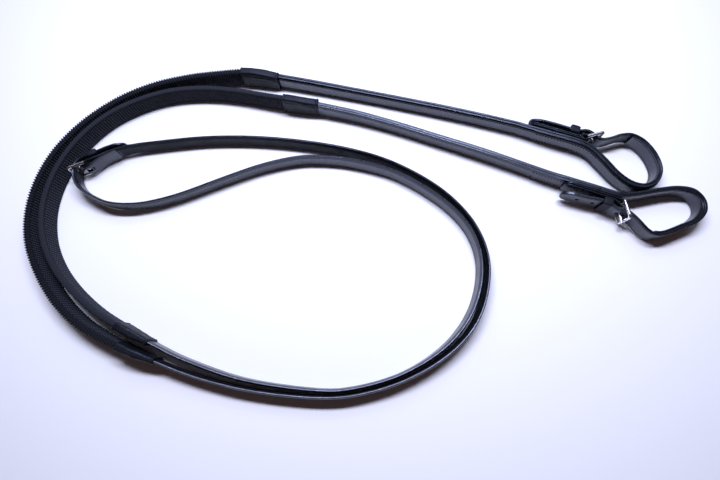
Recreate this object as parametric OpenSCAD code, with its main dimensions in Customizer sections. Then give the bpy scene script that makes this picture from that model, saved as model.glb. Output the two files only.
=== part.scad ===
// A pair of rubber-grip riding reins, lying on edge in one closed loop.
// Each rein is a bit end that loops round a bit ring and buckles back on itself,
// a rubber-covered grip, and a plain hand part. A buckle joins the two hand parts.
// Millimetres. +Z is up, the floor is z = 0, and the origin is below the middle of the outline.

/* [Leather] */
// Width of every leather strap
strap_w = 16; // [15:0.5:16.5]
// Thickness of the main strap leather
strap_t = 2.6; // [2.2:0.1:2.8]
// Thickness of the second ply of the bit ends
lining_t = 1.7; // [1.2:0.1:1.8]
// Thickness of the thin leather folded round a bit buckle
chape_t = 1.5; // [1.2:0.1:1.6]
// Thickness of the keepers and of the caps over the rubber ends
cap_t = 0.9; // [0.6:0.1:1.0]
// Radius of the punched holes
hole_r = 1.6; // [1.2:0.1:2.0]

/* [Rubber grips] */
// Width of the rubber sleeve
grip_w = 20; // [19:0.5:21]
// Thickness of the rubber sleeve over both faces
grip_t = 4.8; // [4.6:0.1:5.4]

/* [Buckles] */
// Distance from the hinge bar to the front bar, centre to centre
frame_l = 13; // [12:0.5:14]
// Radius of the frame's outer bars
bar_r = 1.3; // [1.1:0.05:1.4]
// Radius of the hinge bar
heel_r = 1.15; // [1.0:0.05:1.2]
// Half of the height between the centres of the two side bars
frame_half = 9.8; // [9.6:0.1:10]
// Radius of the tongue's wire
tongue_r = 1.0; // [0.8:0.05:1.0]

/* [Hidden] */

black_leather = "#1c1c22";
black_rubber = "#121214";
nickel = "#c9c9cf";

// Small gap left between pieces that lie on each other
gap = 0.1;
// Rings of a strap between two route points
rings = 3;
// Height of a buckle's middle above the floor, which keeps its frame just clear of it
buckle_z = frame_half + bar_r + 0.2;
$fn = 48;

// Added to every place below, so that the origin comes below the middle of the outline
middle = [4, -2.7, 0.1];

// ---- buckle places ----
// Hinge bar [x, y], the way the folded leather points, the side the billet lies on (1 left, -1 right)
// and how far the frame has swung outwards from the strap
left_heel = [181, 72.5];
left_angle = -19;
left_side = 1;
left_swing = 34;
right_heel = [203, 16];
right_angle = -20;
right_side = -1;
right_swing = 58;
centre_heel = [-235, 52.5];
centre_angle = 203;
centre_side = -1;
centre_swing = 2;

// Inner and outer radius of the leather folded round a bit buckle's hinge bar
fold_r = heel_r + 0.45;
chape_out = fold_r + chape_t;
// Distance from the hinge bar's axis to the middle of the main strap under a bit buckle
standoff = chape_out + lining_t + strap_t / 2 + 5 * gap;

// Local points are [along the fold towards the loop, out from the strap], from the hinge bar
under_chape = [[-64, -standoff], [-46, -standoff], [-27, -standoff], [-8, -standoff]];
left_billet = [
    [26, 11.5], [20, 7], [15.5, 4.2], [12, 2.8], [8.5, 2.9], [5.5, 4.2], [2.2, 5.8], [-2, 6.3],
    [-5.5, 5], [-9, 3.8], [-14, 3.6], [-22, 3.8], [-31, 3.7], [-40, 3.2], [-48, 2.5]
];
right_billet = [
    [17.3, 12], [13.5, 9.6], [10, 7.7], [6.4, 6.1], [3, 5.6], [-0.5, 6.2], [-3.5, 6], [-6.5, 4.8],
    [-9.5, 3.7], [-14, 3.4], [-18, 3.7], [-27, 4.9], [-37, 5.6], [-47, 6.4]
];
centre_billet = [
    [10.3, -2], [8.7, 2.2], [5, 5.4], [-0.5, 6.8], [-5, 6.7],
    [-9, 6.7], [-13, 6.9], [-20, 7.2], [-26, 6.9], [-31, 6.4], [-36, 5.9]
];
// The left hand strap's last points, from which its skived end turns round the hinge bar
over_fold = [[-52, -0.9], [-43, 1.2], [-35, 2.8], [-27, 3.4], [-19, 3.2], [-12, 2.6]];
centre_turn_t = 1.8;
turn_out = fold_r + centre_turn_t;

function turned(p, a) = [p[0] * cos(a) - p[1] * sin(a), p[0] * sin(a) + p[1] * cos(a)];
function placed(points, heel, angle, side, z) = [
    for (p = points) let (q = turned([p[0], p[1] * side], angle)) [heel[0] + q[0], heel[1] + q[1], z]
];

// ---- routes of the straps: [x, y, height of the strap's middle] ----
// Left bit end: out from the grip, round the bit ring's loop, back through the buckle
left_bit_route = concat(
    [[-75, 131.5, 9.5], [-46, 126, 8.8], [-10, 118.5, 8], [28, 110, 8], [72, 99.5, 8.5]],
    placed(under_chape, left_heel, left_angle, left_side, buckle_z),
    [
        [183, 63, 11], [193, 52, 11], [202, 41, 10.5], [212, 33, 10], [223, 30, 10], [233.5, 34, 10],
        [239, 45, 10], [236.5, 58, 10], [229, 69.5, 10], [219, 75.5, 10.5]
    ],
    placed(left_billet, left_heel, left_angle, left_side, buckle_z)
);
// Route point where the second ply ends
left_lining_end = 18;

right_bit_route = concat(
    [[-40, 106, 9.5], [-10, 99, 8.8], [22, 89.5, 8], [58, 77, 8], [98, 62.5, 9]],
    placed(under_chape, right_heel, right_angle, right_side, buckle_z),
    [
        [206, 23.5, 11], [219, 25, 11], [235, 28, 10.5], [250, 29.5, 10], [262, 27, 10],
        [268.5, 19, 10], [268, 9.5, 10], [260.5, 1.5, 10], [248, -3.8, 10], [234, -9, 10],
        [225.5, -9.3, 10.5], [219.5, -6, 11]
    ],
    placed(right_billet, right_heel, right_angle, right_side, buckle_z)
);
right_lining_end = 19;

// Left hand part: from the front cap through the grip and round the big loop to the centre buckle
left_hand_route = concat(
    [
        [-77, 132, 9.8], [-92, 134.5, 11.1], [-109, 136, 11.1], [-130, 135, 10.3], [-155, 132, 10.1],
        [-185, 124.5, 10.1], [-213, 111.5, 10.1], [-239, 92, 10.1], [-259, 68.5, 10.1],
        [-271, 43.5, 10.1], [-276, 16, 10.1], [-273, -11, 10.1], [-262, -36, 10.1],
        [-245, -60, 10.1], [-226, -77, 10.1], [-207, -88, 10.3], [-191, -95, 11.1],
        [-177, -101, 11.1], [-162, -106.5, 9.8], [-130, -118, 8.4], [-90, -127.5, 8], [-42, -132.5, 8],
        [-8, -130.5, 8], [30, -119, 8], [62, -99, 8], [83, -74, 8], [92.5, -44, 8], [91, -18, 8],
        [79, 7, 8], [56, 30.5, 8], [22, 51, 8], [-15, 64, 8], [-57, 72.5, 8], [-100, 77, 8],
        [-140, 77, 8.8]
    ],
    placed(over_fold, centre_heel, centre_angle, centre_side, buckle_z)
);

right_hand_route = concat(
    [
        [-42, 106.5, 9.8], [-57, 108, 11.1], [-72, 110.5, 11.1], [-92, 114.5, 10.3],
        [-113, 118.5, 10.1], [-140, 121, 10.1], [-168, 119, 10.1], [-195, 111, 10.1],
        [-221, 97, 10.1], [-243, 75.5, 10.1], [-258, 49, 10.1], [-264.5, 20, 10.1],
        [-261.5, -7, 10.1], [-251, -30, 10.1], [-235, -49.5, 10.1], [-214, -67, 10.3],
        [-193, -79.5, 11.1], [-181, -86, 11.1], [-168, -92.5, 9.8], [-140, -105.5, 8.4],
        [-95, -120, 8], [-41, -127.5, 8], [-10, -126, 8], [26, -115.5, 8], [57, -96, 8],
        [77.5, -71, 8], [87, -43, 8], [86, -18, 8], [74.5, 5, 8], [52, 26, 8], [20, 45, 8],
        [-15, 55, 8], [-40, 58, 8], [-60, 57.5, 8], [-88, 51.5, 8], [-121, 40, 8], [-155, 27, 8],
        [-180, 20.2, 8.3], [-198, 18.3, 9], [-213.5, 19.8, 9.8], [-226, 25, 10.4], [-235, 30.5, 11],
        [-240, 35.5, 11.3], [-242.8, 41, 11.3]
    ],
    placed(centre_billet, centre_heel, centre_angle, centre_side, buckle_z)
);
// Route points of both hand parts between which the caps and the rubber lie
front_cap_points = [0, 2];
rubber_points = [1, 17];
rear_cap_points = [16, 18];

// ---- curve and sweep functions ----
function bent(a, b, c, d, t) = 0.5 * (
    2 * b + (c - a) * t + (2 * a - 5 * b + 4 * c - d) * t * t + (3 * b - a - 3 * c + d) * t * t * t
);
// Smooth curve through every route point, with the same number of rings in each span
function smooth(route) = let (last = len(route) - 1) concat(
    [
        for (i = [0:last - 1]) for (k = [0:rings - 1]) middle + bent(
            route[max(i - 1, 0)], route[i], route[i + 1], route[min(i + 2, last)], k / rings
        )
    ],
    [middle + route[last]]
);
function stretch(curve, from, to) = [for (i = [from * rings:to * rings]) curve[i]];
function heading(curve, i) = let (
    d = curve[min(i + 1, len(curve) - 1)] - curve[max(i - 1, 0)]
) [d[0], d[1]] / norm([d[0], d[1]]);
function sideways(curve, i) = let (d = heading(curve, i)) [-d[1], d[0], 0];
// Four corners of an upright rectangle across the curve
function corners(p, n, t, w, off) = [
    for (c = [[-1, -1], [1, -1], [1, 1], [-1, 1]]) p + n * (off + c[0] * t / 2) + [0, 0, c[1] * w / 2]
];
function quad(a, b, c, d) = [[a, b, c], [a, c, d]];
function flat(lists) = [for (l = lists) for (x = l) x];

// A solid strap on edge: thickness t, width w, shifted off to the left of the route
module strap(curve, t, w, off) {
    n = len(curve);
    points = flat([for (i = [0:n - 1]) corners(curve[i], sideways(curve, i), t, w, off)]);
    walls = flat([
        for (i = [0:n - 2]) for (k = [0:3]) quad(
            4 * i + k, 4 * i + 4 + k, 4 * i + 4 + (k + 1) % 4, 4 * i + (k + 1) % 4
        )
    ]);
    end = 4 * (n - 1);
    polyhedron(points, concat(walls, quad(0, 1, 2, 3), quad(end + 3, end + 2, end + 1, end)));
}

// A sleeve round the route. sizes holds [outer thickness, outer width, inner thickness, inner width, off]
// for each ring.
module sleeve(curve, sizes) {
    n = len(curve);
    points = flat([
        for (i = [0:n - 1]) let (s = sizes[i], side = sideways(curve, i)) concat(
            corners(curve[i], side, s[0], s[1], s[4]), corners(curve[i], side, s[2], s[3], s[4])
        )
    ]);
    walls = flat([
        for (i = [0:n - 2]) for (k = [0:3]) let (a = 8 * i + k, b = 8 * i + (k + 1) % 4) concat(
            quad(b, a, a + 8, b + 8), quad(a + 4, b + 4, b + 12, a + 12)
        )
    ]);
    end = 8 * (n - 1);
    rims = flat([
        for (k = [0:3]) let (a = k, b = (k + 1) % 4) concat(
            quad(a, b, b + 4, a + 4), quad(end + b, end + a, end + a + 4, end + b + 4)
        )
    ]);
    polyhedron(points, concat(walls, rims));
}

module at_buckle(heel, angle, side) {
    translate(middle + [heel[0], heel[1], buckle_z])
        rotate([0, 0, angle])
            mirror([0, side < 0 ? 1 : 0, 0])
                children();
}

// ---- buckle parts, hinge bar upright at the origin, +X along the chape, +Y out from the strap ----
corner_r = 2.5;

module buckle_frame() {
    cylinder(r = heel_r, h = 2 * frame_half, center = true);
    translate([frame_l, 0, 0])
        cylinder(r = bar_r, h = 2 * (frame_half - corner_r), center = true);
    for (up = [0, 1]) mirror([0, 0, up]) {
        translate([-bar_r, 0, frame_half])
            rotate([0, 90, 0])
                cylinder(r = bar_r, h = frame_l - corner_r + bar_r);
        translate([frame_l - corner_r, 0, frame_half - corner_r])
            rotate([90, 0, 0])
                rotate_extrude(angle = 90)
                    translate([corner_r, 0])
                        circle(r = bar_r);
    }
}

tongue_ring_r = heel_r + 0.07;
tongue_h = 3;
// The tongue runs from the wall of the hinge ring to rest on the outer side of the front bar
tongue_from = [1.6, 0.9];
tongue_to = [frame_l + 1.6, bar_r + tongue_r + 0.55];

module buckle_tongue() {
    run = tongue_to - tongue_from;
    difference() {
        cylinder(r = tongue_ring_r + 0.9, h = tongue_h, center = true);
        cylinder(r = tongue_ring_r, h = tongue_h + 2, center = true);
    }
    translate([tongue_from[0], tongue_from[1], 0])
        rotate([0, 90, atan2(run[1], run[0])])
            rotate_extrude()
                intersection() {
                    union() {
                        square([tongue_r, norm(run)]);
                        translate([0, norm(run)])
                            circle(r = tongue_r);
                    }
                    square([2 * tongue_r, norm(run) + 2 * tongue_r]);
                }
}

slot_h = tongue_h + 1.4;

// Thin leather folded round the hinge bar, both legs lying along the strap
module bit_chape() {
    leg_in = -chape_out;
    leg_mid = -chape_out + chape_t;
    leg_out = leg_mid + chape_t + gap;
    difference() {
        linear_extrude(strap_w, center = true) {
            difference() {
                circle(r = chape_out);
                circle(r = fold_r);
                translate([-2 * chape_out, -chape_out])
                    square([2 * chape_out, 2 * chape_out]);
            }
            translate([-52, leg_in])
                square([52, chape_t]);
            polygon([
                [0, fold_r], [0, chape_out], [-1.5, chape_out], [-7.5, leg_out], [-46, leg_out],
                [-48, leg_mid + gap], [-7.8, leg_mid + gap], [-2, fold_r]
            ]);
        }
        translate([-4.5, -2 * chape_out, -slot_h / 2])
            cube([12, 4 * chape_out, slot_h]);
    }
}

keeper_l = 7;
keeper_low = 0.2;
keeper_high = 6.8;

// Standing loop that holds the billet down
module keeper(from, low, high) {
    translate([from, 0, 0])
        difference() {
            translate([0, low, -strap_w / 2 - 1.6])
                cube([keeper_l, high - low, strap_w + 3.2]);
            translate([-1, low + cap_t + 0.2, -strap_w / 2 - 0.6])
                cube([keeper_l + 2, high - low - 2 * cap_t - 0.4, strap_w + 1.2]);
        }
}

// ---- straps ----
slot_run = 3.8;

// The long hole that the tongue passes through, at a local place and direction
module tongue_slot(place, angle) {
    translate([place[0], place[1], 0])
        rotate([90, 0, angle])
            linear_extrude(6, center = true) {
                square([slot_run, slot_h], center = true);
                for (s = [-1, 1]) translate([s * slot_run / 2, 0])
                    circle(r = slot_h / 2);
            }
}

// What is cut away from a strap's end to leave a spear point at mid height
module around_point(tip) {
    translate([tip, 12, 0])
        rotate([90, 0, 0])
            linear_extrude(11.5)
                for (up = [0, 1]) mirror([0, up])
                    polygon([[-1, 0], [0, 0], [0.8, 3.5], [3.5, 6.3], [8, 8.1], [8, 10], [-1, 10]]);
}

module punched_hole(place, angle) {
    translate([place[0], place[1], 0])
        rotate([90, 0, angle])
            cylinder(r = hole_r, h = 7, center = true);
}

left_bit_curve = smooth(left_bit_route);
right_bit_curve = smooth(right_bit_route);
left_hand_curve = smooth(left_hand_route);
right_hand_curve = smooth(right_hand_route);
lining_off = strap_t / 2 + gap + lining_t / 2;

module left_bit_strap() color(black_leather) difference() {
    strap(left_bit_curve, strap_t, strap_w, 0);
    at_buckle(left_heel, left_angle, left_side) {
        tongue_slot([4.2, 4.8], -26);
        punched_hole([-21, 3], 0);
        punched_hole([-33, 2.5], 3);
        around_point(-48);
    }
}

module left_bit_lining() color(black_leather)
    strap(stretch(left_bit_curve, 0, left_lining_end), lining_t, strap_w, left_side * lining_off);

module left_bit_chape() color(black_leather) at_buckle(left_heel, left_angle, left_side) bit_chape();
module left_bit_keeper() color(black_leather)
    at_buckle(left_heel, left_angle, left_side) keeper(-15, keeper_low, keeper_high);
module left_bit_frame() color(nickel)
    at_buckle(left_heel, left_angle + left_side * left_swing, left_side) buckle_frame();
module left_bit_tongue() color(nickel)
    at_buckle(left_heel, left_angle + left_side * left_swing, left_side) buckle_tongue();

module right_bit_strap() color(black_leather) difference() {
    strap(right_bit_curve, strap_t, strap_w, 0);
    at_buckle(right_heel, right_angle, right_side) {
        tongue_slot([1.8, 5.8], -8);
        punched_hole([-21, 3.7], -5);
        punched_hole([-33, 5], -7);
        around_point(-47);
    }
}

module right_bit_lining() color(black_leather)
    strap(stretch(right_bit_curve, 0, right_lining_end), lining_t, strap_w, right_side * lining_off);

module right_bit_chape() color(black_leather) at_buckle(right_heel, right_angle, right_side) bit_chape();
module right_bit_keeper() color(black_leather)
    at_buckle(right_heel, right_angle, right_side) keeper(-15, keeper_low, keeper_high);
module right_bit_frame() color(nickel)
    at_buckle(right_heel, right_angle + right_side * right_swing, right_side) buckle_frame();
module right_bit_tongue() color(nickel)
    at_buckle(right_heel, right_angle + right_side * right_swing, right_side) buckle_tongue();

// The left hand strap's end is skived, turned round the centre hinge bar and stitched to itself
module centre_turn() difference() {
    linear_extrude(strap_w, center = true) {
        difference() {
            circle(r = turn_out);
            circle(r = fold_r);
            translate([-2 * turn_out, -turn_out])
                square([2 * turn_out, 2 * turn_out]);
        }
        polygon([[0, fold_r], [0, turn_out], [-4, 3.6], [-12.5, 3.95], [-12.5, 1.3], [-6, fold_r]]);
        polygon([
            [0, -fold_r], [0, -turn_out], [-4, -2.9], [-12, -0.2], [-19, 1.1], [-27, 1.5],
            [-27.5, 2.3], [-19, 2], [-12, 1.4], [-4, -1.2]
        ]);
    }
    translate([-4.5, -2 * turn_out, -slot_h / 2])
        cube([12, 4 * turn_out, slot_h]);
}

module left_hand_strap() color(black_leather) {
    strap(left_hand_curve, strap_t, strap_w, 0);
    at_buckle(centre_heel, centre_angle, centre_side) centre_turn();
}

module right_hand_strap() color(black_leather) difference() {
    strap(right_hand_curve, strap_t, strap_w, 0);
    at_buckle(centre_heel, centre_angle, centre_side) {
        tongue_slot([9, 2], -57);
        punched_hole([-20, 7.3], 0);
        around_point(-36);
    }
}

module centre_keeper() color(black_leather)
    at_buckle(centre_heel, centre_angle, centre_side) keeper(-12.2, 4.1, 9.3);
module centre_frame() color(nickel)
    at_buckle(centre_heel, centre_angle + centre_side * centre_swing, centre_side) buckle_frame();
module centre_tongue() color(nickel)
    at_buckle(centre_heel, centre_angle + centre_side * centre_swing, centre_side) buckle_tongue();

// ---- grips ----
module grip(curve, from, to) {
    part = stretch(curve, from, to);
    one = [grip_t, grip_w, strap_t + 2 * gap, strap_w + 2 * gap, 0];
    sleeve(part, [for (p = part) one]);
}

module left_grip_rubber() color(black_rubber) grip(left_hand_curve, rubber_points[0], rubber_points[1]);
module right_grip_rubber() color(black_rubber) grip(right_hand_curve, rubber_points[0], rubber_points[1]);

// A cap of thin leather wrapped over the end of the rubber, narrowing down to the strap
over_rubber_t = grip_t + 2 * gap;
over_rubber_w = grip_w + 2 * gap;
over_strap_t = strap_t + 2 * gap;
over_strap_w = strap_w + 2 * gap;

function cap_size(share) = let (
    t = over_rubber_t + (over_strap_t - over_rubber_t) * share,
    w = over_rubber_w + (over_strap_w - over_rubber_w) * share
) [t + 2 * cap_t, w + 2 * cap_t, t, w, 0];

module cap(curve, points, rubber_first) {
    part = stretch(curve, points[0], points[1]);
    last = len(part) - 1;
    half = last / 2;
    sleeve(part, [
        for (i = [0:last]) let (
            along = rubber_first ? i : last - i
        ) cap_size(max(0, (along - half) / half))
    ]);
}

module left_front_cap() color(black_leather) cap(left_hand_curve, front_cap_points, false);
module left_rear_cap() color(black_leather) cap(left_hand_curve, rear_cap_points, true);
module right_front_cap() color(black_leather) cap(right_hand_curve, front_cap_points, false);
module right_rear_cap() color(black_leather) cap(right_hand_curve, rear_cap_points, true);

left_bit_strap();
left_bit_lining();
left_bit_chape();
left_bit_keeper();
left_bit_frame();
left_bit_tongue();
right_bit_strap();
right_bit_lining();
right_bit_chape();
right_bit_keeper();
right_bit_frame();
right_bit_tongue();
left_hand_strap();
left_grip_rubber();
left_front_cap();
left_rear_cap();
right_hand_strap();
right_grip_rubber();
right_front_cap();
right_rear_cap();
centre_keeper();
centre_frame();
centre_tongue();
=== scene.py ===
"""Looks for a pair of black leather riding reins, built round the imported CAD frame. Metres."""

import math

import bmesh
import bpy
import numpy as np
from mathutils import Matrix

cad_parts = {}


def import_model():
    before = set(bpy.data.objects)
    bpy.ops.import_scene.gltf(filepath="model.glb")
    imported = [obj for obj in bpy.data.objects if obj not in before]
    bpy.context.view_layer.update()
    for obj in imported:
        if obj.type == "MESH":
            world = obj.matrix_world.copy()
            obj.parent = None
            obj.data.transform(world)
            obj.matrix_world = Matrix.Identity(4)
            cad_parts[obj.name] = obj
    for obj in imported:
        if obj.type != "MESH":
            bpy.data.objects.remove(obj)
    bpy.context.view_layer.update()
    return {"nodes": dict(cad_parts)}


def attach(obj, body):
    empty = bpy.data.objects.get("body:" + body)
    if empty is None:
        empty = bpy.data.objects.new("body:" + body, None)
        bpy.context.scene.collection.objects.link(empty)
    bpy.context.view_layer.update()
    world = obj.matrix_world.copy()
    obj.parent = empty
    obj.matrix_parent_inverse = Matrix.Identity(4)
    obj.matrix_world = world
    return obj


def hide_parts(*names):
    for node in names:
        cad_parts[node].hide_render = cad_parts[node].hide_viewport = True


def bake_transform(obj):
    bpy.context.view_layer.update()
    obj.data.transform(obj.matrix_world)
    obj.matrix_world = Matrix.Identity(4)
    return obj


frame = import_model()

MM = 0.001
MIDDLE = np.array([4.0, -2.7, 0.1])  # as in the CAD source, in millimetres

# ---------------------------------------------------------------- camera
camera_data = bpy.data.cameras.new("camera")
camera_data.sensor_width = 36
camera_data.lens = 24.55
camera_data.clip_start = 0.02
camera_data.clip_end = 20
camera = bpy.data.objects.new("camera", camera_data)
camera.location = (0.005, -0.1067, 0.3951)
camera.rotation_euler = (math.radians(13.51), math.radians(1.13), 0)
bpy.context.scene.collection.objects.link(camera)
bpy.context.scene.camera = camera

# ---------------------------------------------------------------- sizes and routes, in millimetres
STRAP_W = 16.0
STRAP_T = 2.6
LINING_T = 1.7
CHAPE_T = 1.5
CAP_T = 0.9
GRIP_W = 20.0
GRIP_T = 4.8
HOLE_R = 1.6
FOLD_R = 1.6
GAP = 0.1
BUCKLE_Z = 11.3
CHAPE_OUT = FOLD_R + CHAPE_T
STANDOFF = CHAPE_OUT + LINING_T + STRAP_T / 2 + 5 * GAP
LINING_OFF = STRAP_T / 2 + GAP + LINING_T / 2
NEAR_EDGE = (0.95, 1.7)  # bevels, each given as across the thickness and up the width
FAR_EDGE = (0.4, 0.5)
HAND_EDGE = (0.72, 1.7)
MOST_BEVEL = 0.4  # the most of a strap's thickness that one bevel takes
CREASE = 0.28
LINING_CREASE = 0.22
CROWN = 0.12  # how far the middle of a hand strap's top edge stands up
PLY_STEP = 0.55  # how far the second ply stands proud
SLOT_RUN = 3.8
SLOT_H = 4.4
ROUND = 0.01  # the straight run of a round hole
CUT_DEEP = 7.0
KEEPER_L = 7.0
TURN_RUN = 36  # length of the left hand strap's turned end

LEFT = {"heel": (181, 72.5), "angle": -19, "side": 1}
RIGHT = {"heel": (203, 16), "angle": -20, "side": -1}
CENTRE = {"heel": (-235, 52.5), "angle": 203, "side": -1}


def turned(x, y, degrees):
    a = math.radians(degrees)
    return x * math.cos(a) - y * math.sin(a), x * math.sin(a) + y * math.cos(a)


def placed(points, buckle, z=BUCKLE_Z):
    """Local points, along a buckle's fold and out from its strap, as route points."""
    out = []
    for along, outwards in points:
        x, y = turned(along, outwards * buckle["side"], buckle["angle"])
        out.append((buckle["heel"][0] + x, buckle["heel"][1] + y, z))
    return out


UNDER_CHAPE = [(-64, -STANDOFF), (-46, -STANDOFF), (-27, -STANDOFF), (-8, -STANDOFF)]
LEFT_BILLET = [
    (26, 11.5), (20, 7), (15.5, 4.2), (12, 2.8), (8.5, 2.9), (5.5, 4.2), (2.2, 5.8), (-2, 6.3),
    (-5.5, 5), (-9, 3.8), (-14, 3.6), (-22, 3.8), (-31, 3.7), (-40, 3.2), (-48, 2.5),
]
RIGHT_BILLET = [
    (17.3, 12), (13.5, 9.6), (10, 7.7), (6.4, 6.1), (3, 5.6), (-0.5, 6.2), (-3.5, 6), (-6.5, 4.8),
    (-9.5, 3.7), (-14, 3.4), (-18, 3.7), (-27, 4.9), (-37, 5.6), (-47, 6.4),
]
CENTRE_BILLET = [
    (10.3, -2), (8.7, 2.2), (5, 5.4), (-0.5, 6.8), (-5, 6.7),
    (-9, 6.7), (-13, 6.9), (-20, 7.2), (-26, 6.9), (-31, 6.4), (-36, 5.9),
]
OVER_FOLD = [(-52, -0.9), (-43, 1.2), (-35, 2.8), (-27, 3.4), (-19, 3.2), (-12, 2.6)]
TURNED_END = [
    (-4, 2.5), (0, 2.5), (1.77, 1.77), (2.5, 0), (1.77, -1.77), (0, -2.5), (-4, -1.9),
    (-12, 0.5), (-19, 1.3), (-27, 1.65),
]


def settled(points, share):
    """The same points, sunk towards the floor so that the strap nearly rests on it."""
    return [(x, y, 8 + (z - 8) * k) for (x, y, z), k in zip(points, np.broadcast_to(share, len(points)))]


LEFT_BIT = (
    [(-75, 131.5, 9.5), (-46, 126, 8.8), (-10, 118.5, 8), (28, 110, 8), (72, 99.5, 8.5)]
    + settled(placed(UNDER_CHAPE, LEFT), (0.3, 0.5, 0.75, 0.9))
    + settled([
        (183, 63, 11), (193, 52, 11), (202, 41, 10.5), (212, 33, 10), (223, 30, 10), (233.5, 34, 10),
        (239, 45, 10), (236.5, 58, 10), (229, 69.5, 10), (219, 75.5, 10.5),
    ], (0.8, 0.6, 0.45, 0.3, 0.3, 0.3, 0.3, 0.4, 0.6, 0.8))
    + placed(LEFT_BILLET, LEFT)
)
RIGHT_BIT = (
    [(-40, 106, 9.5), (-10, 99, 8.8), (22, 89.5, 8), (58, 77, 8), (98, 62.5, 9)]
    + settled(placed(UNDER_CHAPE, RIGHT), (0.3, 0.5, 0.75, 0.9))
    + settled([
        (206, 23.5, 11), (219, 25, 11), (235, 28, 10.5), (250, 29.5, 10), (262, 27, 10),
        (268.5, 19, 10), (268, 9.5, 10), (260.5, 1.5, 10), (248, -3.8, 10), (234, -9, 10),
        (225.5, -9.3, 10.5), (219.5, -6, 11),
    ], (0.8, 0.6, 0.45, 0.3, 0.3, 0.3, 0.3, 0.3, 0.35, 0.5, 0.65, 0.85))
    + placed(RIGHT_BILLET, RIGHT)
)
LEFT_HAND = [
    (-77, 132, 9.8), (-92, 134.5, 11.1), (-109, 136, 11.1), (-130, 135, 10.3), (-155, 132, 10.1),
    (-185, 124.5, 10.1), (-213, 111.5, 10.1), (-239, 92, 10.1), (-259, 68.5, 10.1),
    (-271, 43.5, 10.1), (-276, 16, 10.1), (-273, -11, 10.1), (-262, -36, 10.1),
    (-245, -60, 10.1), (-226, -77, 10.1), (-207, -88, 10.3), (-191, -95, 11.1),
    (-177, -101, 11.1), (-162, -106.5, 9.8), (-130, -118, 8.4), (-90, -127.5, 8), (-42, -132.5, 8),
    (-8, -130.5, 8), (30, -119, 8), (62, -99, 8), (83, -74, 8), (92.5, -44, 8), (91, -18, 8),
    (79, 7, 8), (56, 30.5, 8), (22, 51, 8), (-15, 64, 8), (-57, 72.5, 8), (-100, 77, 8),
    (-140, 77, 8),
] + settled(placed(OVER_FOLD, CENTRE), (0.15, 0.3, 0.45, 0.6, 0.75, 0.9))
RIGHT_HAND = [
    (-42, 106.5, 9.8), (-57, 108, 11.1), (-72, 110.5, 11.1), (-92, 114.5, 10.3),
    (-113, 118.5, 10.1), (-140, 121, 10.1), (-168, 119, 10.1), (-195, 111, 10.1),
    (-221, 97, 10.1), (-243, 75.5, 10.1), (-258, 49, 10.1), (-264.5, 20, 10.1),
    (-261.5, -7, 10.1), (-251, -30, 10.1), (-235, -49.5, 10.1), (-214, -67, 10.3),
    (-193, -79.5, 11.1), (-181, -86, 11.1), (-168, -92.5, 9.8), (-140, -105.5, 8.4),
    (-95, -120, 8), (-41, -127.5, 8), (-10, -126, 8), (26, -115.5, 8), (57, -96, 8),
    (77.5, -71, 8), (87, -43, 8), (86, -18, 8), (74.5, 5, 8), (52, 26, 8), (20, 45, 8),
    (-15, 55, 8), (-40, 58, 8), (-60, 57.5, 8), (-88, 51.5, 8), (-121, 40, 8), (-155, 27, 8),
    (-180, 20.2, 8.3), (-198, 18.3, 9), (-213.5, 19.8, 9.8), (-226, 25, 10.4), (-235, 30.5, 11),
    (-240, 35.5, 11.3), (-242.8, 41, 11.3),
] + placed(CENTRE_BILLET, CENTRE)


# ---------------------------------------------------------------- curves
def smooth(route, first=0, last=None):
    """The CAD's smooth curve through the route points from first to last, in metres, densely."""
    p = np.array(route, float) + MIDDLE
    end = len(p) - 1
    last = end if last is None else last
    out = []
    for i in range(first, last):
        a, b, c, d = p[max(i - 1, 0)], p[i], p[i + 1], p[min(i + 2, end)]
        n = max(4, min(12, int(np.linalg.norm(c - b) / 0.35)))
        for k in range(n):
            t = k / n
            out.append(0.5 * (2 * b + (c - a) * t + (2 * a - 5 * b + 4 * c - d) * t * t
                              + (3 * b - a - 3 * c + d) * t ** 3))
    out.append(p[last])
    return np.array(out) * MM


def lengths(curve):
    return np.concatenate([[0], np.cumsum(np.linalg.norm(np.diff(curve, axis=0), axis=1))])


def respaced(curve, at):
    """Points of the curve at the given arc lengths."""
    s = lengths(curve)
    return np.stack([np.interp(at, s, curve[:, k]) for k in range(3)], axis=1)


def sideways(curve):
    d = np.gradient(curve, axis=0)[:, :2]
    d /= np.linalg.norm(d, axis=1)[:, None]
    return np.stack([-d[:, 1], d[:, 0], np.zeros(len(d))], axis=1)


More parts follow.
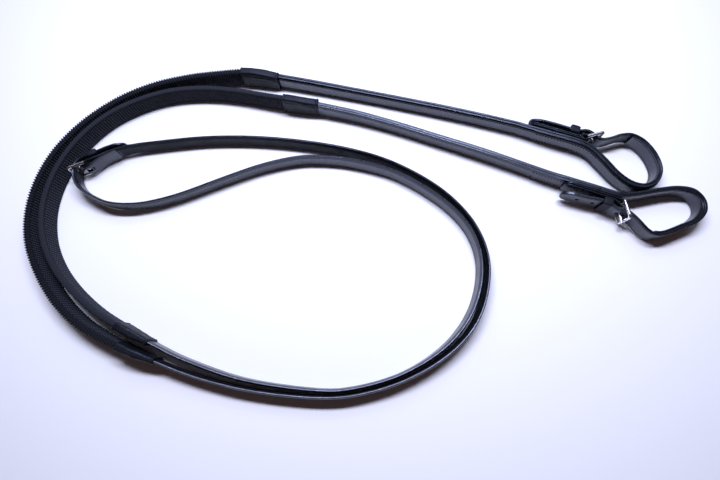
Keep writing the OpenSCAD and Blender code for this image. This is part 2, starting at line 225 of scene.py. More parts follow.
# ---------------------------------------------------------------- profiles and sweeps
def strap_profile(t, w, near_edge, far_edge, depth, near, crown):
    """Cross-section of a strap, anticlockwise: (across its thickness, up its width).

    Its edges are bevelled by near_edge on the face at negative across, and by far_edge on the other. The
    near face stands proud by near, and the middle of the top edge by crown. A crease, depth deep, runs
    inside the bevels.
    """
    points = []

    def corner(sign_a, sign_b):
        ca, cb = near_edge if sign_a < 0 else far_edge
        ca = min(ca, MOST_BEVEL * t)
        a, b = sign_a * t / 2 - (near if sign_a < 0 else 0.0), sign_b * w / 2
        inset = [(ca + 0.25, 0.0), (ca + 0.05, 0.03), (ca - 0.12, 0.16), (ca * 0.5, cb * 0.5),
                 (0.1, cb - 0.2), (0.0, cb + 0.05)]
        run = [(a - sign_a * u, b - sign_b * v) for u, v in inset]
        return run if sign_a * sign_b < 0 else run[::-1]

    def face(sign, rise, edge):
        crease = w / 2 - edge - 0.9
        lines = [(-crease - 0.5, 0), (-crease - 0.22, 0.8), (-crease, 1), (-crease + 0.22, 0.8),
                 (-crease + 0.55, 0)]
        inner = [(b, 0) for b in np.linspace(-crease + 1.2, crease - 1.2, 7)]
        for b, g in lines + inner + [(-b, g) for b, g in reversed(lines)]:
            points.append((sign * (t / 2 - g * depth) + rise, sign * b))

    points += corner(1, -1)
    face(1, 0.0, far_edge[1])
    points += corner(1, 1)
    near_bevel, far_bevel = min(near_edge[0], MOST_BEVEL * t), min(far_edge[0], MOST_BEVEL * t)
    points.append(((near_bevel - far_bevel - near) / 2, w / 2 + crown))
    points += corner(-1, 1)
    face(-1, -near, near_edge[1])
    points += corner(-1, -1)
    return np.array(points)


def round_profile(t, w, r, per_face=0.45):
    """A rounded rectangle with evenly spaced points, and each point's outward normal."""
    points, normals = [], []
    flat = w / 2 - r
    n_face = max(2, int(2 * flat / per_face))
    n_arc = max(4, int(math.pi / 2 * r / per_face))
    wide = t / 2 - r
    for ca, cb, start in ((wide, -flat, -90), (wide, flat, 0), (-wide, flat, 90), (-wide, -flat, 180)):
        for k in range(n_arc + 1):
            a = math.radians(start + 90 * k / n_arc)
            points.append((ca + r * math.cos(a), cb + r * math.sin(a)))
            normals.append((math.cos(a), math.sin(a)))
        if start in (-90, 90):
            sign = 1 if start == -90 else -1
            for b in np.linspace(-flat, flat, n_face + 1)[1:-1]:
                points.append((sign * t / 2, sign * b))
                normals.append((sign, 0.0))
    return np.array(points), np.array(normals)


def new_mesh(name, vertices, faces, sharp=35):
    mesh = bpy.data.meshes.new(name)
    mesh.from_pydata([tuple(v) for v in vertices], [], faces)
    mesh.validate()
    mesh.shade_smooth()
    mesh.set_sharp_from_angle(angle=math.radians(sharp))
    obj = bpy.data.objects.new(name, mesh)
    bpy.context.scene.collection.objects.link(obj)
    return obj


def leaning(sections, lean):
    """Sections tilted about their lower edge, by lean degrees a ring towards positive across."""
    out = sections.copy()
    out[:, :, 0] += np.tan(np.radians(lean))[:, None] * (out[:, :, 1] + STRAP_W / 2)
    return out


def ring_points(curve, sections):
    side = sideways(curve)
    if sections.ndim == 2:
        sections = np.broadcast_to(sections, (len(curve),) + sections.shape)
    up = np.array([0, 0, 1.0])
    return (curve[:, None, :] + sections[:, :, 0:1] * MM * side[:, None, :]
            + sections[:, :, 1:2] * MM * up[None, None, :])


def quads(n, k, start=0, flip=False):
    i, j = np.meshgrid(np.arange(n - 1), np.arange(k), indexing="ij")
    a = start + i * k + j
    b = start + i * k + (j + 1) % k
    q = np.stack([a, b, b + k, a + k], axis=-1).reshape(-1, 4)
    return (q[:, ::-1] if flip else q).tolist()


def sweep(name, curve, sections, sharp=27):
    """A solid of the given cross-sections (millimetres) along an upright strap's curve (metres)."""
    rings = ring_points(curve, sections)
    n, k = rings.shape[:2]
    faces = quads(n, k)
    faces.append(list(range(k))[::-1])
    faces.append([(n - 1) * k + j for j in range(k)])
    return new_mesh(name, rings.reshape(-1, 3), faces, sharp)


def tube(name, curve, outer, inner, sharp=35):
    """A sleeve between outer and inner cross-sections that have the same number of points."""
    a, b = ring_points(curve, outer), ring_points(curve, inner)
    n, k = a.shape[:2]
    faces = quads(n, k) + quads(n, k, n * k, True)
    for j in range(k):
        m = (j + 1) % k
        faces.append([m, j, n * k + j, n * k + m])
        e = (n - 1) * k
        faces.append([e + j, e + m, n * k + e + m, n * k + e + j])
    return new_mesh(name, np.concatenate([a.reshape(-1, 3), b.reshape(-1, 3)]), faces, sharp)


def cut(obj, cutters):
    """Takes the cutters out of obj's mesh and removes them."""
    for c in cutters:
        m = obj.modifiers.new("cut", "BOOLEAN")
        m.operation = "DIFFERENCE"
        m.solver = "EXACT"
        m.object = c
    bpy.context.view_layer.update()
    depsgraph = bpy.context.evaluated_depsgraph_get()
    mesh = bpy.data.meshes.new_from_object(obj.evaluated_get(depsgraph))
    obj.modifiers.clear()
    old = obj.data
    obj.data = mesh
    bpy.data.meshes.remove(old)
    for c in cutters:
        bpy.data.objects.remove(c)
    obj.data.shade_smooth()
    obj.data.set_sharp_from_angle(angle=math.radians(27))
    return obj


def at_buckle(buckle, along, outwards, z=BUCKLE_Z):
    x, y, z = placed([(along, outwards)], buckle, z)[0]
    return (np.array([x, y, z]) + MIDDLE) * MM


def slot_cutter(buckle, along, outwards, degrees, run, height):
    """A long hole's cutter, whose length lies at degrees from the buckle's own direction."""
    outline = []
    for k in range(25):
        a = math.radians(-90 + 180 * k / 24)
        outline.append((run / 2 + height / 2 * math.cos(a), height / 2 * math.sin(a)))
    for k in range(25):
        a = math.radians(90 + 180 * k / 24)
        outline.append((-run / 2 + height / 2 * math.cos(a), height / 2 * math.sin(a)))
    vertices = []
    for d in (-CUT_DEEP / 2, CUT_DEEP / 2):
        for u, v in outline:
            x, y = turned(u, d, degrees)
            vertices.append(at_buckle(buckle, along + x, outwards + y, BUCKLE_Z + v))
    k = len(outline)
    faces = quads(2, k) + [list(range(k))[::-1], list(range(k, 2 * k))]
    obj = new_mesh("cutter", vertices, faces)
    tidy_normals(obj)
    return obj


def tidy_normals(obj):
    bm = bmesh.new()
    bm.from_mesh(obj.data)
    bmesh.ops.recalc_face_normals(bm, faces=bm.faces)
    bm.to_mesh(obj.data)
    bm.free()


def box_cutter(buckle, x0, x1, y0, y1, z0, z1):
    corners = ((x0, y0), (x1, y0), (x1, y1), (x0, y1))
    vertices = [at_buckle(buckle, x, y, BUCKLE_Z + z) for z in (z0, z1) for x, y in corners]
    faces = [[0, 3, 2, 1], [4, 5, 6, 7], [0, 1, 5, 4], [1, 2, 6, 5], [2, 3, 7, 6], [3, 0, 4, 7]]
    obj = new_mesh("cutter", vertices, faces)
    tidy_normals(obj)
    return obj


# ---------------------------------------------------------------- materials
def node(tree, kind, **inputs):
    n = tree.nodes.new(kind)
    for k, v in inputs.items():
        n.inputs[k.replace("_", " ")].default_value = v
    return n


def material(name, low, high, rough, grain=0.4, depth=0.05, specular=0.5, metallic=0.0,
             fibre=420.0, relief_shade=False, tint=(1, 1, 1)):
    """Colour between low and high, roughness between rough's two values, cells and fibres as bump.

    When the relief flag is set, a vertex attribute, 0 in the hollows and 1 on the tops, sets both instead:
    the colour it sets is painted shade, dark in the hollows and lighter on the tops.
    """
    m = bpy.data.materials.new(name)
    m.use_nodes = True
    tree = m.node_tree
    link = tree.links.new
    shader = tree.nodes["Principled BSDF"]
    shader.inputs["Metallic"].default_value = metallic
    shader.inputs["Specular IOR Level"].default_value = specular
    shader.inputs["Specular Tint"].default_value = (*tint, 1)
    space = tree.nodes.new("ShaderNodeTexCoord").outputs["Object"]

    cloud = node(tree, "ShaderNodeTexNoise", Scale=90.0, Detail=6.0, Roughness=0.6)
    link(space, cloud.inputs["Vector"])
    rough_range = node(tree, "ShaderNodeMapRange")
    rough_range.inputs["From Min"].default_value = 0.3
    rough_range.inputs["From Max"].default_value = 0.7
    rough_range.inputs["To Min"].default_value = rough[0]
    rough_range.inputs["To Max"].default_value = rough[1]
    link(cloud.outputs["Fac"], rough_range.inputs["Value"])
    link(rough_range.outputs["Result"], shader.inputs["Roughness"])

    cells = node(tree, "ShaderNodeTexVoronoi", Scale=1000 / grain)
    link(space, cells.inputs["Vector"])
    fine = node(tree, "ShaderNodeTexNoise", Scale=fibre, Detail=8.0)
    link(space, fine.inputs["Vector"])

    tone = tree.nodes.new("ShaderNodeMix")
    tone.data_type = "RGBA"
    tone.inputs["A"].default_value = (*low, 1)
    tone.inputs["B"].default_value = (*high, 1)
    # painted shade: the colour follows the vertex attribute, dark in the hollows and lighter on the tops
    if relief_shade:
        top = tree.nodes.new("ShaderNodeAttribute")
        top.attribute_name = "relief_shade"
        link(top.outputs["Fac"], tone.inputs["Factor"])
        link(top.outputs["Fac"], rough_range.inputs["Value"])
        rough_range.inputs["From Min"].default_value = 0.0
        rough_range.inputs["From Max"].default_value = 1.0
    else:
        link(fine.outputs["Fac"], tone.inputs["Factor"])
    link(tone.outputs["Result"], shader.inputs["Base Color"])

    height = tree.nodes.new("ShaderNodeMath")
    height.operation = "ADD"
    link(cells.outputs["Distance"], height.inputs[0])
    link(fine.outputs["Fac"], height.inputs[1])
    bump = node(tree, "ShaderNodeBump", Strength=0.7, Distance=depth * MM)
    link(height.outputs["Value"], bump.inputs["Height"])
    link(bump.outputs["Normal"], shader.inputs["Normal"])
    return m


COOL = (0.7, 0.78, 1.0)
LEATHER = material("strap_leather", (0.002, 0.0025, 0.004), (0.006, 0.007, 0.011), (0.22, 0.36),
                   specular=0.75, tint=COOL)
THIN_LEATHER = material("cap_leather", (0.002, 0.0025, 0.004), (0.007, 0.008, 0.012), (0.4, 0.58), grain=0.7,
                        depth=0.16, fibre=300.0, specular=0.24, tint=COOL)
# the rubber's colour is painted shade, dark in the hollows between pimples and ribs and lighter on their tops
RUBBER = material("grip_rubber", (0.0002, 0.0002, 0.0004), (0.08, 0.088, 0.115), (0.95, 0.36), grain=0.5,
                  depth=0.04, relief_shade=True, specular=0.42, tint=COOL)
THREAD = material("thread", (0.001, 0.001, 0.0015), (0.004, 0.004, 0.006), (0.7, 0.85), grain=0.25,
                  depth=0.08, specular=0.15)
NICKEL = material("nickel", (0.72, 0.72, 0.74), (0.86, 0.86, 0.88), (0.16, 0.3), grain=1.2, depth=0.008,
                  metallic=1.0)


MATT = material("strap_leather_inside", (0.0015, 0.0018, 0.003), (0.005, 0.006, 0.009), (0.55, 0.7),
                grain=0.3, depth=0.07, specular=0.3, tint=COOL)


def matt_inside(obj, curve):
    """Gives the faces of a hand strap that look to positive across the matt inner finish."""
    obj.data.materials.append(MATT)
    side = sideways(curve)
    mesh = obj.data
    centre = np.empty(len(mesh.polygons) * 3)
    normal = np.empty(len(mesh.polygons) * 3)
    mesh.polygons.foreach_get("center", centre)
    mesh.polygons.foreach_get("normal", normal)
    centre, normal = centre.reshape(-1, 3), normal.reshape(-1, 3)
    index = np.zeros(len(centre), int)
    for start in range(0, len(centre), 2000):
        part = centre[start:start + 2000]
        nearest = np.argmin(((part[:, None, :2] - curve[None, :, :2]) ** 2).sum(axis=2), axis=1)
        index[start:start + 2000] = (normal[start:start + 2000] * side[nearest]).sum(axis=1) > 0.8
    mesh.polygons.foreach_set("material_index", index)


def dress(obj, mat):
    obj.data.materials.clear()
    obj.data.materials.append(mat)
    return obj


# ---------------------------------------------------------------- straps
SPEAR_D = [0, 0.12, 0.4, 0.8, 1.8, 3.5, 5.6, 8]
SPEAR_W = [0.7, 1.6, 2.7, 3.6, 5.0, 6.4, 7.3, STRAP_W / 2]


def strap_sections(curve, thickness, spear_at_end=True, depth=CREASE, near=None, near_edge=NEAR_EDGE,
                   far_edge=FAR_EDGE, crown=0.0):
    """One cross-section a ring. thickness and near are numbers, or one for each ring."""
    s = lengths(curve) / MM
    to_end = s[-1] - s
    t = np.broadcast_to(np.asarray(thickness, float), (len(curve),))
    near = np.zeros(len(curve)) if near is None else near
    out = []
    for i in range(len(curve)):
        crease = depth * min(1, t[i] / STRAP_T)
        p = strap_profile(t[i], STRAP_W, near_edge, far_edge, crease, near[i], crown)
        if spear_at_end and to_end[i] < SPEAR_D[-1]:
            half = np.interp(to_end[i], SPEAR_D, SPEAR_W)
            p = p * [1.0 if to_end[i] > 1.2 else 0.5 + 0.42 * to_end[i], half / (STRAP_W / 2)]
        out.append(p)
    return np.array(out)


TIP_RINGS = [8, 6.8, 5.6, 4.5, 3.5, 2.6, 1.9, 1.3, 0.8, 0.5, 0.25, 0.1, 0]


def with_tip(curve):
    """Closer rings at the curve's end, so that its spear point is drawn."""
    s = lengths(curve)
    tip = s[-1] - np.array(TIP_RINGS) * MM
    return respaced(curve, np.concatenate([s[s < tip[0] - 0.4 * MM], tip]))


def before(curve, extra):
    """The curve with a straight lead-in of extra metres, to start inside a cap."""
    d = curve[0] - curve[1]
    d[2] = 0
    d /= np.linalg.norm(d)
    lead = [curve[0] + d * extra * k / 6 for k in range(6, 0, -1)]
    return np.concatenate([lead, curve])


left_bit_curve = with_tip(before(smooth(LEFT_BIT), 0.007))
right_bit_curve = with_tip(before(smooth(RIGHT_BIT), 0.007))
left_hand_body = smooth(LEFT_HAND + placed(TURNED_END, CENTRE))
right_hand_curve = with_tip(smooth(RIGHT_HAND))


def step_along(curve, ends):
    """How far the near face stands proud: a second ply whose cut end shows, between two arc lengths."""
    s = lengths(curve) / MM
    return PLY_STEP * np.clip((s - ends[0]) / 0.4, 0, 1) * np.clip((ends[1] - s) / 6, 0, 1)


left_patch = (228, 322)  # where the second ply starts and ends, along the strap
right_patch = (192, 226)
left_bit_strap = sweep(
    "left_bit_strap_leather", left_bit_curve,
    strap_sections(left_bit_curve, STRAP_T, near=step_along(left_bit_curve, left_patch)),
)
cut(left_bit_strap, [
    slot_cutter(LEFT, 4.2, 4.8, -26, SLOT_RUN, SLOT_H),
    slot_cutter(LEFT, -21, 3.8, 0, ROUND, 2 * HOLE_R),
    slot_cutter(LEFT, -33, 3.6, 3, ROUND, 2 * HOLE_R),
])
right_bit_strap = sweep(
    "right_bit_strap_leather", right_bit_curve,
    strap_sections(right_bit_curve, STRAP_T, near_edge=(0.3, 0.4)))
cut(right_bit_strap, [
    slot_cutter(RIGHT, 1.8, 5.8, -8, SLOT_RUN, SLOT_H),
    slot_cutter(RIGHT, -21, 4, -6, ROUND, 2 * HOLE_R),
    slot_cutter(RIGHT, -33, 5.4, -5, ROUND, 2 * HOLE_R),
])

# the left hand strap gets thinner towards its turned end
s_left = lengths(left_hand_body) / MM
turn_start = s_left[-1] - TURN_RUN
thickness = np.interp(s_left - turn_start, [-8, -2, 3, 12, 20, 28, TURN_RUN],
                      [STRAP_T, 2.3, 1.8, 1.7, 1.25, 1.0, 0.85])


def loop_lean(curve):
    """Round the big loop the straps lean out by a few degrees."""
    s = lengths(curve) / MM
    return -6.0 * np.clip((s - 640) / 60, 0, 1) * np.clip((1010 - s) / 120, 0, 1)


left_hand_strap = sweep(
    "left_hand_strap_leather", left_hand_body,
    leaning(strap_sections(left_hand_body, thickness, False, near_edge=HAND_EDGE, far_edge=HAND_EDGE,
                           crown=CROWN), loop_lean(left_hand_body)),
)
cut(left_hand_strap, [box_cutter(CENTRE, -4.5, 7.5, -5, 5, -2.2, 2.2)])
right_hand_strap = sweep(
    "right_hand_strap_leather", right_hand_curve,
    leaning(strap_sections(right_hand_curve, STRAP_T, far_edge=HAND_EDGE, near_edge=HAND_EDGE, crown=CROWN),
            loop_lean(right_hand_curve)),
)
cut(right_hand_strap, [
    slot_cutter(CENTRE, 9, 2, -57, SLOT_RUN, SLOT_H),
    slot_cutter(CENTRE, -20, 7.2, 0, ROUND, 2 * HOLE_R),
])

left_lining_curve = before(smooth(LEFT_BIT, 0, 18), 0.006)
right_lining_curve = before(smooth(RIGHT_BIT, 0, 19), 0.006)


def lining(name, curve, side):
    near = np.zeros(len(curve))
    if side < 0:
        near = step_along(curve, right_patch)
    edges = ((0.6, 1.6), (0.3, 0.4)) if side < 0 else ((0.3, 0.4), (0.3, 0.4))
    sections = strap_sections(curve, LINING_T, False, LINING_CREASE, near, *edges)
    return sweep(name, curve, sections + [side * LINING_OFF, 0])


left_lining = lining("left_bit_lining_leather", left_lining_curve, LEFT["side"])
right_lining = lining("right_bit_lining_leather", right_lining_curve, RIGHT["side"])
for piece in (left_bit_strap, right_bit_strap, left_hand_strap, right_hand_strap, left_lining, right_lining):
    dress(piece, LEATHER)
matt_inside(left_hand_strap, left_hand_body)


# ---------------------------------------------------------------- rubber grips
PITCH = 2.2
PIMPLE = 0.8
LEAN_AT = (-236, -69)
LEAN_REACH = 60


def grip(name, route, rope, lean=0):
    """A rubber sleeve with rows of pimples on its faces, and cross ribs, rope deep, over its edges.

    Near LEAN_AT its lower edge is pushed in, to positive across, by lean degrees.
    """
    curve = smooth(route, 1, 17)
    total = lengths(curve)[-1]
    rows = round(total / MM / PITCH)
    at = np.linspace(0, total, rows * 6 + 1)
    curve = respaced(curve, at)
    base, normal = round_profile(GRIP_T - PIMPLE, GRIP_W + 0.3 - 2 * rope, 1.1, 0.37)
    high = base[None, :, 1]
    row = at[:, None] / total * rows
    face = np.clip((GRIP_W / 2 - 1.9 - np.abs(high)) / 0.5, 0, 1)
    edge = np.clip((np.abs(high) - GRIP_W / 2 + 1.3 + rope) / 0.5, 0, 1)
    stagger = 0.5 * np.mod(np.round(row), 2)
    hump = np.clip((np.cos(2 * np.pi * row) + 0.25) / 1.25, 0, 1)
    bead = np.clip((np.cos(2 * np.pi * (high / PITCH + stagger)) + 0.45) / 1.45, 0, 1)
    pimple = (hump * bead) ** 0.8 * face
    ribs = hump ** 0.7 * edge
    out = PIMPLE * pimple + rope * ribs
    sections = base[None, :, :] + out[:, :, None] * normal[None, :, :]
    if lean:
        away = np.linalg.norm(curve[:, :2] / MM - MIDDLE[:2] - LEAN_AT, axis=1)
        slope = np.tan(np.radians(lean * np.exp(-(away / LEAN_REACH) ** 2)))[:, None]
        sections[:, :, 0] += slope * (GRIP_W / 2 - sections[:, :, 1])
    ring = ring_points(curve, sections)
    n, k = ring.shape[:2]
    faces = quads(n, k) + [list(range(k))[::-1], [(n - 1) * k + j for j in range(k)]]
    obj = new_mesh(name, ring.reshape(-1, 3), faces, 70)
    # painted shade: this value colours the hollows between pimples and ribs dark and their tops lighter, and
    # also sets the roughness
    smooth_edge = edge * (1 - min(1.0, rope) * (1 - hump))
    relief_shade = np.clip(np.maximum(pimple ** 1.5, smooth_edge * 0.15), 0, 1)
    obj.data.attributes.new("relief_shade", "FLOAT", "POINT").data.foreach_set("value", relief_shade.ravel())
    return dress(obj, RUBBER)


left_rubber = grip("left_grip_pimples", LEFT_HAND, 1.1, 7)
right_rubber = grip("right_grip_pimples", RIGHT_HAND, 0.25)


# ---------------------------------------------------------------- caps over the rubber ends
def cap(name, route, first, last, rubber_first, seed, rough=1.0, end_t=STRAP_T + 0.8):
    """A sleeve of thin leather over the end of the rubber, wide there and nearly strap-sized beyond."""
    curve = smooth(route, first, last)
    total = lengths(curve)[-1]
    at = np.linspace(0, total, 100)
    curve = respaced(curve, at)
    share = at / total if rubber_first else 1 - at / total
    big_t, big_w = GRIP_T + 2 * GAP, GRIP_W + 2 * GAP
    small_t, small_w = end_t, STRAP_W + 1
    rng = np.random.default_rng(seed)
    phase = rng.uniform(0, 2 * np.pi, 5)
    outer, inner = [], []
    for u, s in zip(share, at / MM):
        k = min(1.0, max(0.0, (u - 0.25) / 0.72))
        k = k * k * (3 - 2 * k) * 0.5 + k * 0.5
        t, w = big_t + (small_t - big_t) * k, big_w + (small_w - big_w) * k
        left = min(s, total / MM - s)
        rim = 0.35 * max(0.0, 1 - left / 0.4) - 0.22 * math.exp(-((left - 0.9) / 0.5) ** 2)
        rim += 0.3 * math.exp(-((left - 2.1) / 0.35) ** 2)
        base, normal = round_profile(t + 2 * CAP_T, w + 2 * CAP_T, min(1.9, 0.42 * (t + 2 * CAP_T)), 0.45)
        pull = math.sin(math.pi * min(1.0, max(0.0, (u - 0.05) / 0.95)))
        b = base[:, 1]
        wrinkle = (
            np.sin(b * 1.3 + phase[0] + 0.12 * s) * 0.07
            + np.sin(b * 2.3 - 0.3 * s + phase[1]) * 0.07
            + np.sin(0.45 * s + b * 0.4 + phase[2]) * 0.05
            + np.sin(1.1 * s - b * 1.5 + phase[3]) * 0.04
            + np.sin(2.1 * s + b * 0.8 + phase[4]) * 0.03
        ) * pull * rough
        line = w / 2 - 3.4 + 0.4 * math.sin(0.3 * s + phase[2])
        seam = -0.5 * np.exp(-((b - line) / 0.45) ** 2) + 0.25 * np.exp(-((b - line - 1.1) / 0.5) ** 2)
        low = -0.25 * np.exp(-((b + line) / 0.4) ** 2)
        out = wrinkle + seam + low - rim - 0.1
        outer.append(base + out[:, None] * normal)
        inner.append(base * [t / (t + 2 * CAP_T), w / (w + 2 * CAP_T)])
        if len(outer) > 1 and len(outer[-1]) != len(outer[0]):
            outer[-1] = resample_ring(outer[-1], len(outer[0]))
            inner[-1] = resample_ring(inner[-1], len(inner[0]))
    return dress(tube(name, curve, np.array(outer), np.array(inner), 50), THIN_LEATHER)


def resample_ring(points, count):
    closed = np.concatenate([points, points[:1]])
    s = np.concatenate([[0], np.cumsum(np.linalg.norm(np.diff(closed, axis=0), axis=1))])
    at = np.linspace(0, s[-1], count + 1)[:-1]
    return np.stack([np.interp(at, s, closed[:, k]) for k in range(2)], axis=1)


left_front_cap = cap("left_front_cap_leather", LEFT_HAND, 0, 2, False, 3, 1.0, 5.4)
left_rear_cap = cap("left_rear_cap_leather", LEFT_HAND, 16, 18, True, 5, 1.6)
right_front_cap = cap("right_front_cap_leather", RIGHT_HAND, 0, 2, False, 7, 1.0, 5.4)
right_rear_cap = cap("right_rear_cap_leather", RIGHT_HAND, 16, 18, True, 11, 1.8)


# ---------------------------------------------------------------- chapes and keepers
def chape(name, buckle):
    mid = FOLD_R + CHAPE_T / 2
    inner_leg = -CHAPE_OUT + CHAPE_T / 2
    outer_leg = inner_leg + CHAPE_T + GAP
    local = [(-47, inner_leg), (-40, inner_leg), (-20, inner_leg), (-8, inner_leg), (-3, -mid), (0, -mid),
             (mid * 0.707, -mid * 0.707), (mid, 0), (mid * 0.707, mid * 0.707), (0, mid), (-1.8, mid - 0.1),
             (-4.6, mid - 1.5), (-7.6, outer_leg + 0.1), (-12, outer_leg), (-30, outer_leg), (-47, outer_leg)]
    curve = smooth(placed(local, buckle))
    s = lengths(curve) / MM
    t = np.interp(s, [0, 8, s[-1] - 8, s[-1]], [0.6, CHAPE_T, CHAPE_T, 0.7]) * 0.97
    sections = strap_sections(curve, t, spear_at_end=False)
    narrow = np.interp(np.minimum(s, s[-1] - s), [0, 0.6, 2, 4.5], [0.62, 0.78, 0.93, 1])
    sections = sections * np.stack([np.ones_like(narrow), narrow], axis=1)[:, None, :]
    obj = sweep(name, curve, sections)
    cut(obj, [box_cutter(buckle, -4.5, 7.5, -6, 6, -2.2, 2.2)])
    return dress(obj, LEATHER)


def keeper(name, buckle, start, low, high):
    """A band of thin leather round the billet."""
    mid = (low + high) / 2
    local = [(start + KEEPER_L * k / 12, mid) for k in range(13)]
    curve = (np.array(placed(local, buckle)) + MIDDLE) * MM
    outer, inner = [], []
    for k in range(13):
        rim = 0.3 * max(0, 1 - min(k, 12 - k) / 1.5)
        base, normal = round_profile(high - low, STRAP_W + 3.2, 1.3, 0.6)
        crease = -0.12 if k in (2, 10) else 0.0
        outer.append(base + (crease - rim) * normal)
        inner.append(base * [(high - low - 2 * CAP_T - 0.4) / (high - low),
                             (STRAP_W + 1.2) / (STRAP_W + 3.2)])
    return dress(tube(name, curve, np.array(outer), np.array(inner), 50), MATT)


left_chape = chape("left_bit_chape_leather", LEFT)
right_chape = chape("right_bit_chape_leather", RIGHT)
left_keeper = keeper("left_bit_keeper_leather", LEFT, -15, 0.2, 6.8)
right_keeper = keeper("right_bit_keeper_leather", RIGHT, -15, 0.2, 6.8)
centre_keeper = keeper("centre_keeper_leather", CENTRE, -12.2, 4.1, 9.3)


# ---------------------------------------------------------------- stitching
def stitches(name, curve, rows):
    """Small thread loops. Each row, in mm: offset to the side, height, from, to, pitch, length, thickness."""
    s = lengths(curve) / MM
    side = sideways(curve)
    unit = []
    for u in (-1, -0.6, 0, 0.6, 1):
        r = math.sqrt(max(0.0, 1 - u * u)) if abs(u) < 1 else 0.0
        unit.append((u, max(r, 0.15)))
    vertices, faces = [], []
    for off, high, start, stop, pitch, length, thick in rows:
        at = start
        while at < stop:
            base = len(vertices)
            for u, r in unit:
                p = respaced_one(curve, s, at + u * length / 2)
                n = respaced_one(side, s, at + u * length / 2)
                for k in range(6):
                    a = 2 * math.pi * k / 6
                    o = off + r * 0.28 * math.cos(a)
                    h = high + r * thick / 2 * math.sin(a) + 0.12 * u
                    vertices.append(p + n * o * MM + np.array([0, 0, h * MM]))
            for i in range(len(unit) - 1):
                here, there = base + i * 6, base + (i + 1) * 6
                for k in range(6):
                    m = (k + 1) % 6
                    faces.append([here + k, here + m, there + m, there + k])
            faces.append([base + k for k in range(6)][::-1])
            faces.append([base + (len(unit) - 1) * 6 + k for k in range(6)])
            at += pitch
    return dress(new_mesh(name, vertices, faces, 80), THREAD)


def respaced_one(values, s, at):
    return np.array([np.interp(at, s, values[:, k]) for k in range(3)])


def bit_stitches(name, curve, lining_end, buckle, patch):
    """Fine stitches along both faces' edges, and two bold rows where the chape is sewn on."""
    near = -(STRAP_T / 2 if buckle["side"] > 0 else STRAP_T / 2 + GAP + LINING_T)
    far = STRAP_T / 2 + GAP + LINING_T if buckle["side"] > 0 else STRAP_T / 2
    end = lengths(curve)[-1] / MM
    stop = lining_end - 2
    fine, bold = (2.0, 0.9, 1.3), (2.5, 1.3, 1.7)
    rows = [(near, 4.9, 10, patch[0] - 1, *fine), (near, -5.3, 10, patch[0] - 1, *fine),
            (near - PLY_STEP, 4.3, patch[0] + 2, patch[0] + 55, *bold),
            (near - PLY_STEP, -4.7, patch[0] + 2, patch[0] + 55, *bold),
            (far, 5.9, 10, stop, *fine), (far, -5.9, 10, stop, *fine)]
    if buckle["side"] > 0:
        rows += [(near, 4.9, patch[1] - 1, end - 60, *fine), (near, -5.3, patch[1] - 1, end - 60, *fine)]
    else:
        rows[2:4] = [(near - PLY_STEP, high, patch[0] + 2, patch[1] - 2, *bold) for high in (4.3, -4.7)]
    return stitches(name, curve, rows)


left_stitches = bit_stitches(
    "left_bit_stitching", left_bit_curve, lengths(left_lining_curve)[-1] / MM, LEFT, left_patch)
right_stitches = bit_stitches(
    "right_bit_stitching", right_bit_curve, lengths(right_lining_curve)[-1] / MM, RIGHT, right_patch)

# ---------------------------------------------------------------- what each piece stands for and moves with
for o in (left_hand_strap, right_hand_strap, left_rubber, right_rubber, left_front_cap, left_rear_cap,
          right_front_cap, right_rear_cap, centre_keeper):
    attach(o, "reins")
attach(left_chape, "left_bit_end")
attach(left_keeper, "left_bit_end")
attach(right_chape, "right_bit_end")
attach(right_keeper, "right_bit_end")
for o in (left_bit_strap, left_lining, left_stitches):
    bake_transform(o)
for o in (right_bit_strap, right_lining, right_stitches):
    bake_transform(o)
for o, name in (
    (left_hand_strap, "left_hand_strap"), (right_hand_strap, "right_hand_strap"),
    (left_rubber, "left_grip_rubber"), (right_rubber, "right_grip_rubber"),
    (left_front_cap, "left_front_cap"), (left_rear_cap, "left_rear_cap"),
    (right_front_cap, "right_front_cap"), (right_rear_cap, "right_rear_cap"),
    (centre_keeper, "centre_keeper"), (left_chape, "left_bit_chape"), (right_chape, "right_bit_chape"),
    (left_keeper, "left_bit_keeper"), (right_keeper, "right_bit_keeper"),
    (left_bit_strap, "left_bit_strap"), (right_bit_strap, "right_bit_strap"),
    (left_lining, "left_bit_lining"), (right_lining, "right_bit_lining"),
):
    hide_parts(name)

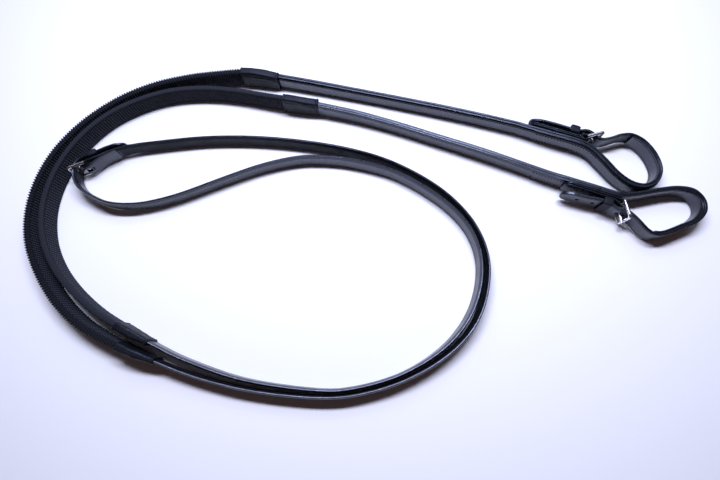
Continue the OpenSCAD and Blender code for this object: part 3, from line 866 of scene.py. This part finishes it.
for name in ("left_bit_frame", "left_bit_tongue", "right_bit_frame", "right_bit_tongue", "centre_frame",
             "centre_tongue"):
    o = frame["nodes"][name]
    o.data.materials.clear()
    o.data.materials.append(NICKEL)


# ---------------------------------------------------------------- floor and light
floor_mesh = bpy.data.meshes.new("floor")
floor_mesh.from_pydata([(-3, -3, 0), (3, -3, 0), (3, 3, 0), (-3, 3, 0)], [], [(0, 1, 2, 3)])
floor = bpy.data.objects.new("floor", floor_mesh)
bpy.context.scene.collection.objects.link(floor)
floor_material = bpy.data.materials.new("floor")
floor_material.use_nodes = True
floor_shader = floor_material.node_tree.nodes["Principled BSDF"]
floor_shader.inputs["Base Color"].default_value = (0.82, 0.82, 0.84, 1)
floor_shader.inputs["Roughness"].default_value = 0.9
floor_shader.inputs["Specular IOR Level"].default_value = 0.1
floor_mesh.materials.append(floor_material)


def area_light(name, place, width, depth, energy, colour):
    data = bpy.data.lights.new(name, "AREA")
    data.shape = "RECTANGLE"
    data.size = width
    data.size_y = depth
    data.energy = energy
    data.color = colour
    light = bpy.data.objects.new(name, data)
    light.location = place
    light.rotation_euler = (math.atan2(-place[1], place[2]), 0, 0)
    bpy.context.scene.collection.objects.link(light)


area_light("key", (0.0, 0.205, 0.6), 0.45, 0.07, 7.0, (0.76, 0.79, 1.0))
area_light("window", (0.0, 0.58, 0.75), 1.6, 0.32, 4.2, (0.66, 0.76, 1.0))

world = bpy.data.worlds.new("world")
bpy.context.scene.world = world
world.use_nodes = True
tree = world.node_tree
direction = tree.nodes.new("ShaderNodeTexCoord").outputs["Generated"]
split = tree.nodes.new("ShaderNodeSeparateXYZ")
tree.links.new(direction, split.inputs["Vector"])
ramp = tree.nodes.new("ShaderNodeValToRGB")
ramp.color_ramp.elements[0].position = 0.0
ramp.color_ramp.elements[0].color = (0.1, 0.055, 0.045, 1)
ramp.color_ramp.elements[1].position = 1.0
ramp.color_ramp.elements[1].color = (0.03, 0.025, 0.03, 1)
tree.links.new(split.outputs["Z"], ramp.inputs["Fac"])
tree.links.new(ramp.outputs["Color"], tree.nodes["Background"].inputs["Color"])
bpy.context.scene.view_settings.view_transform = "Standard"
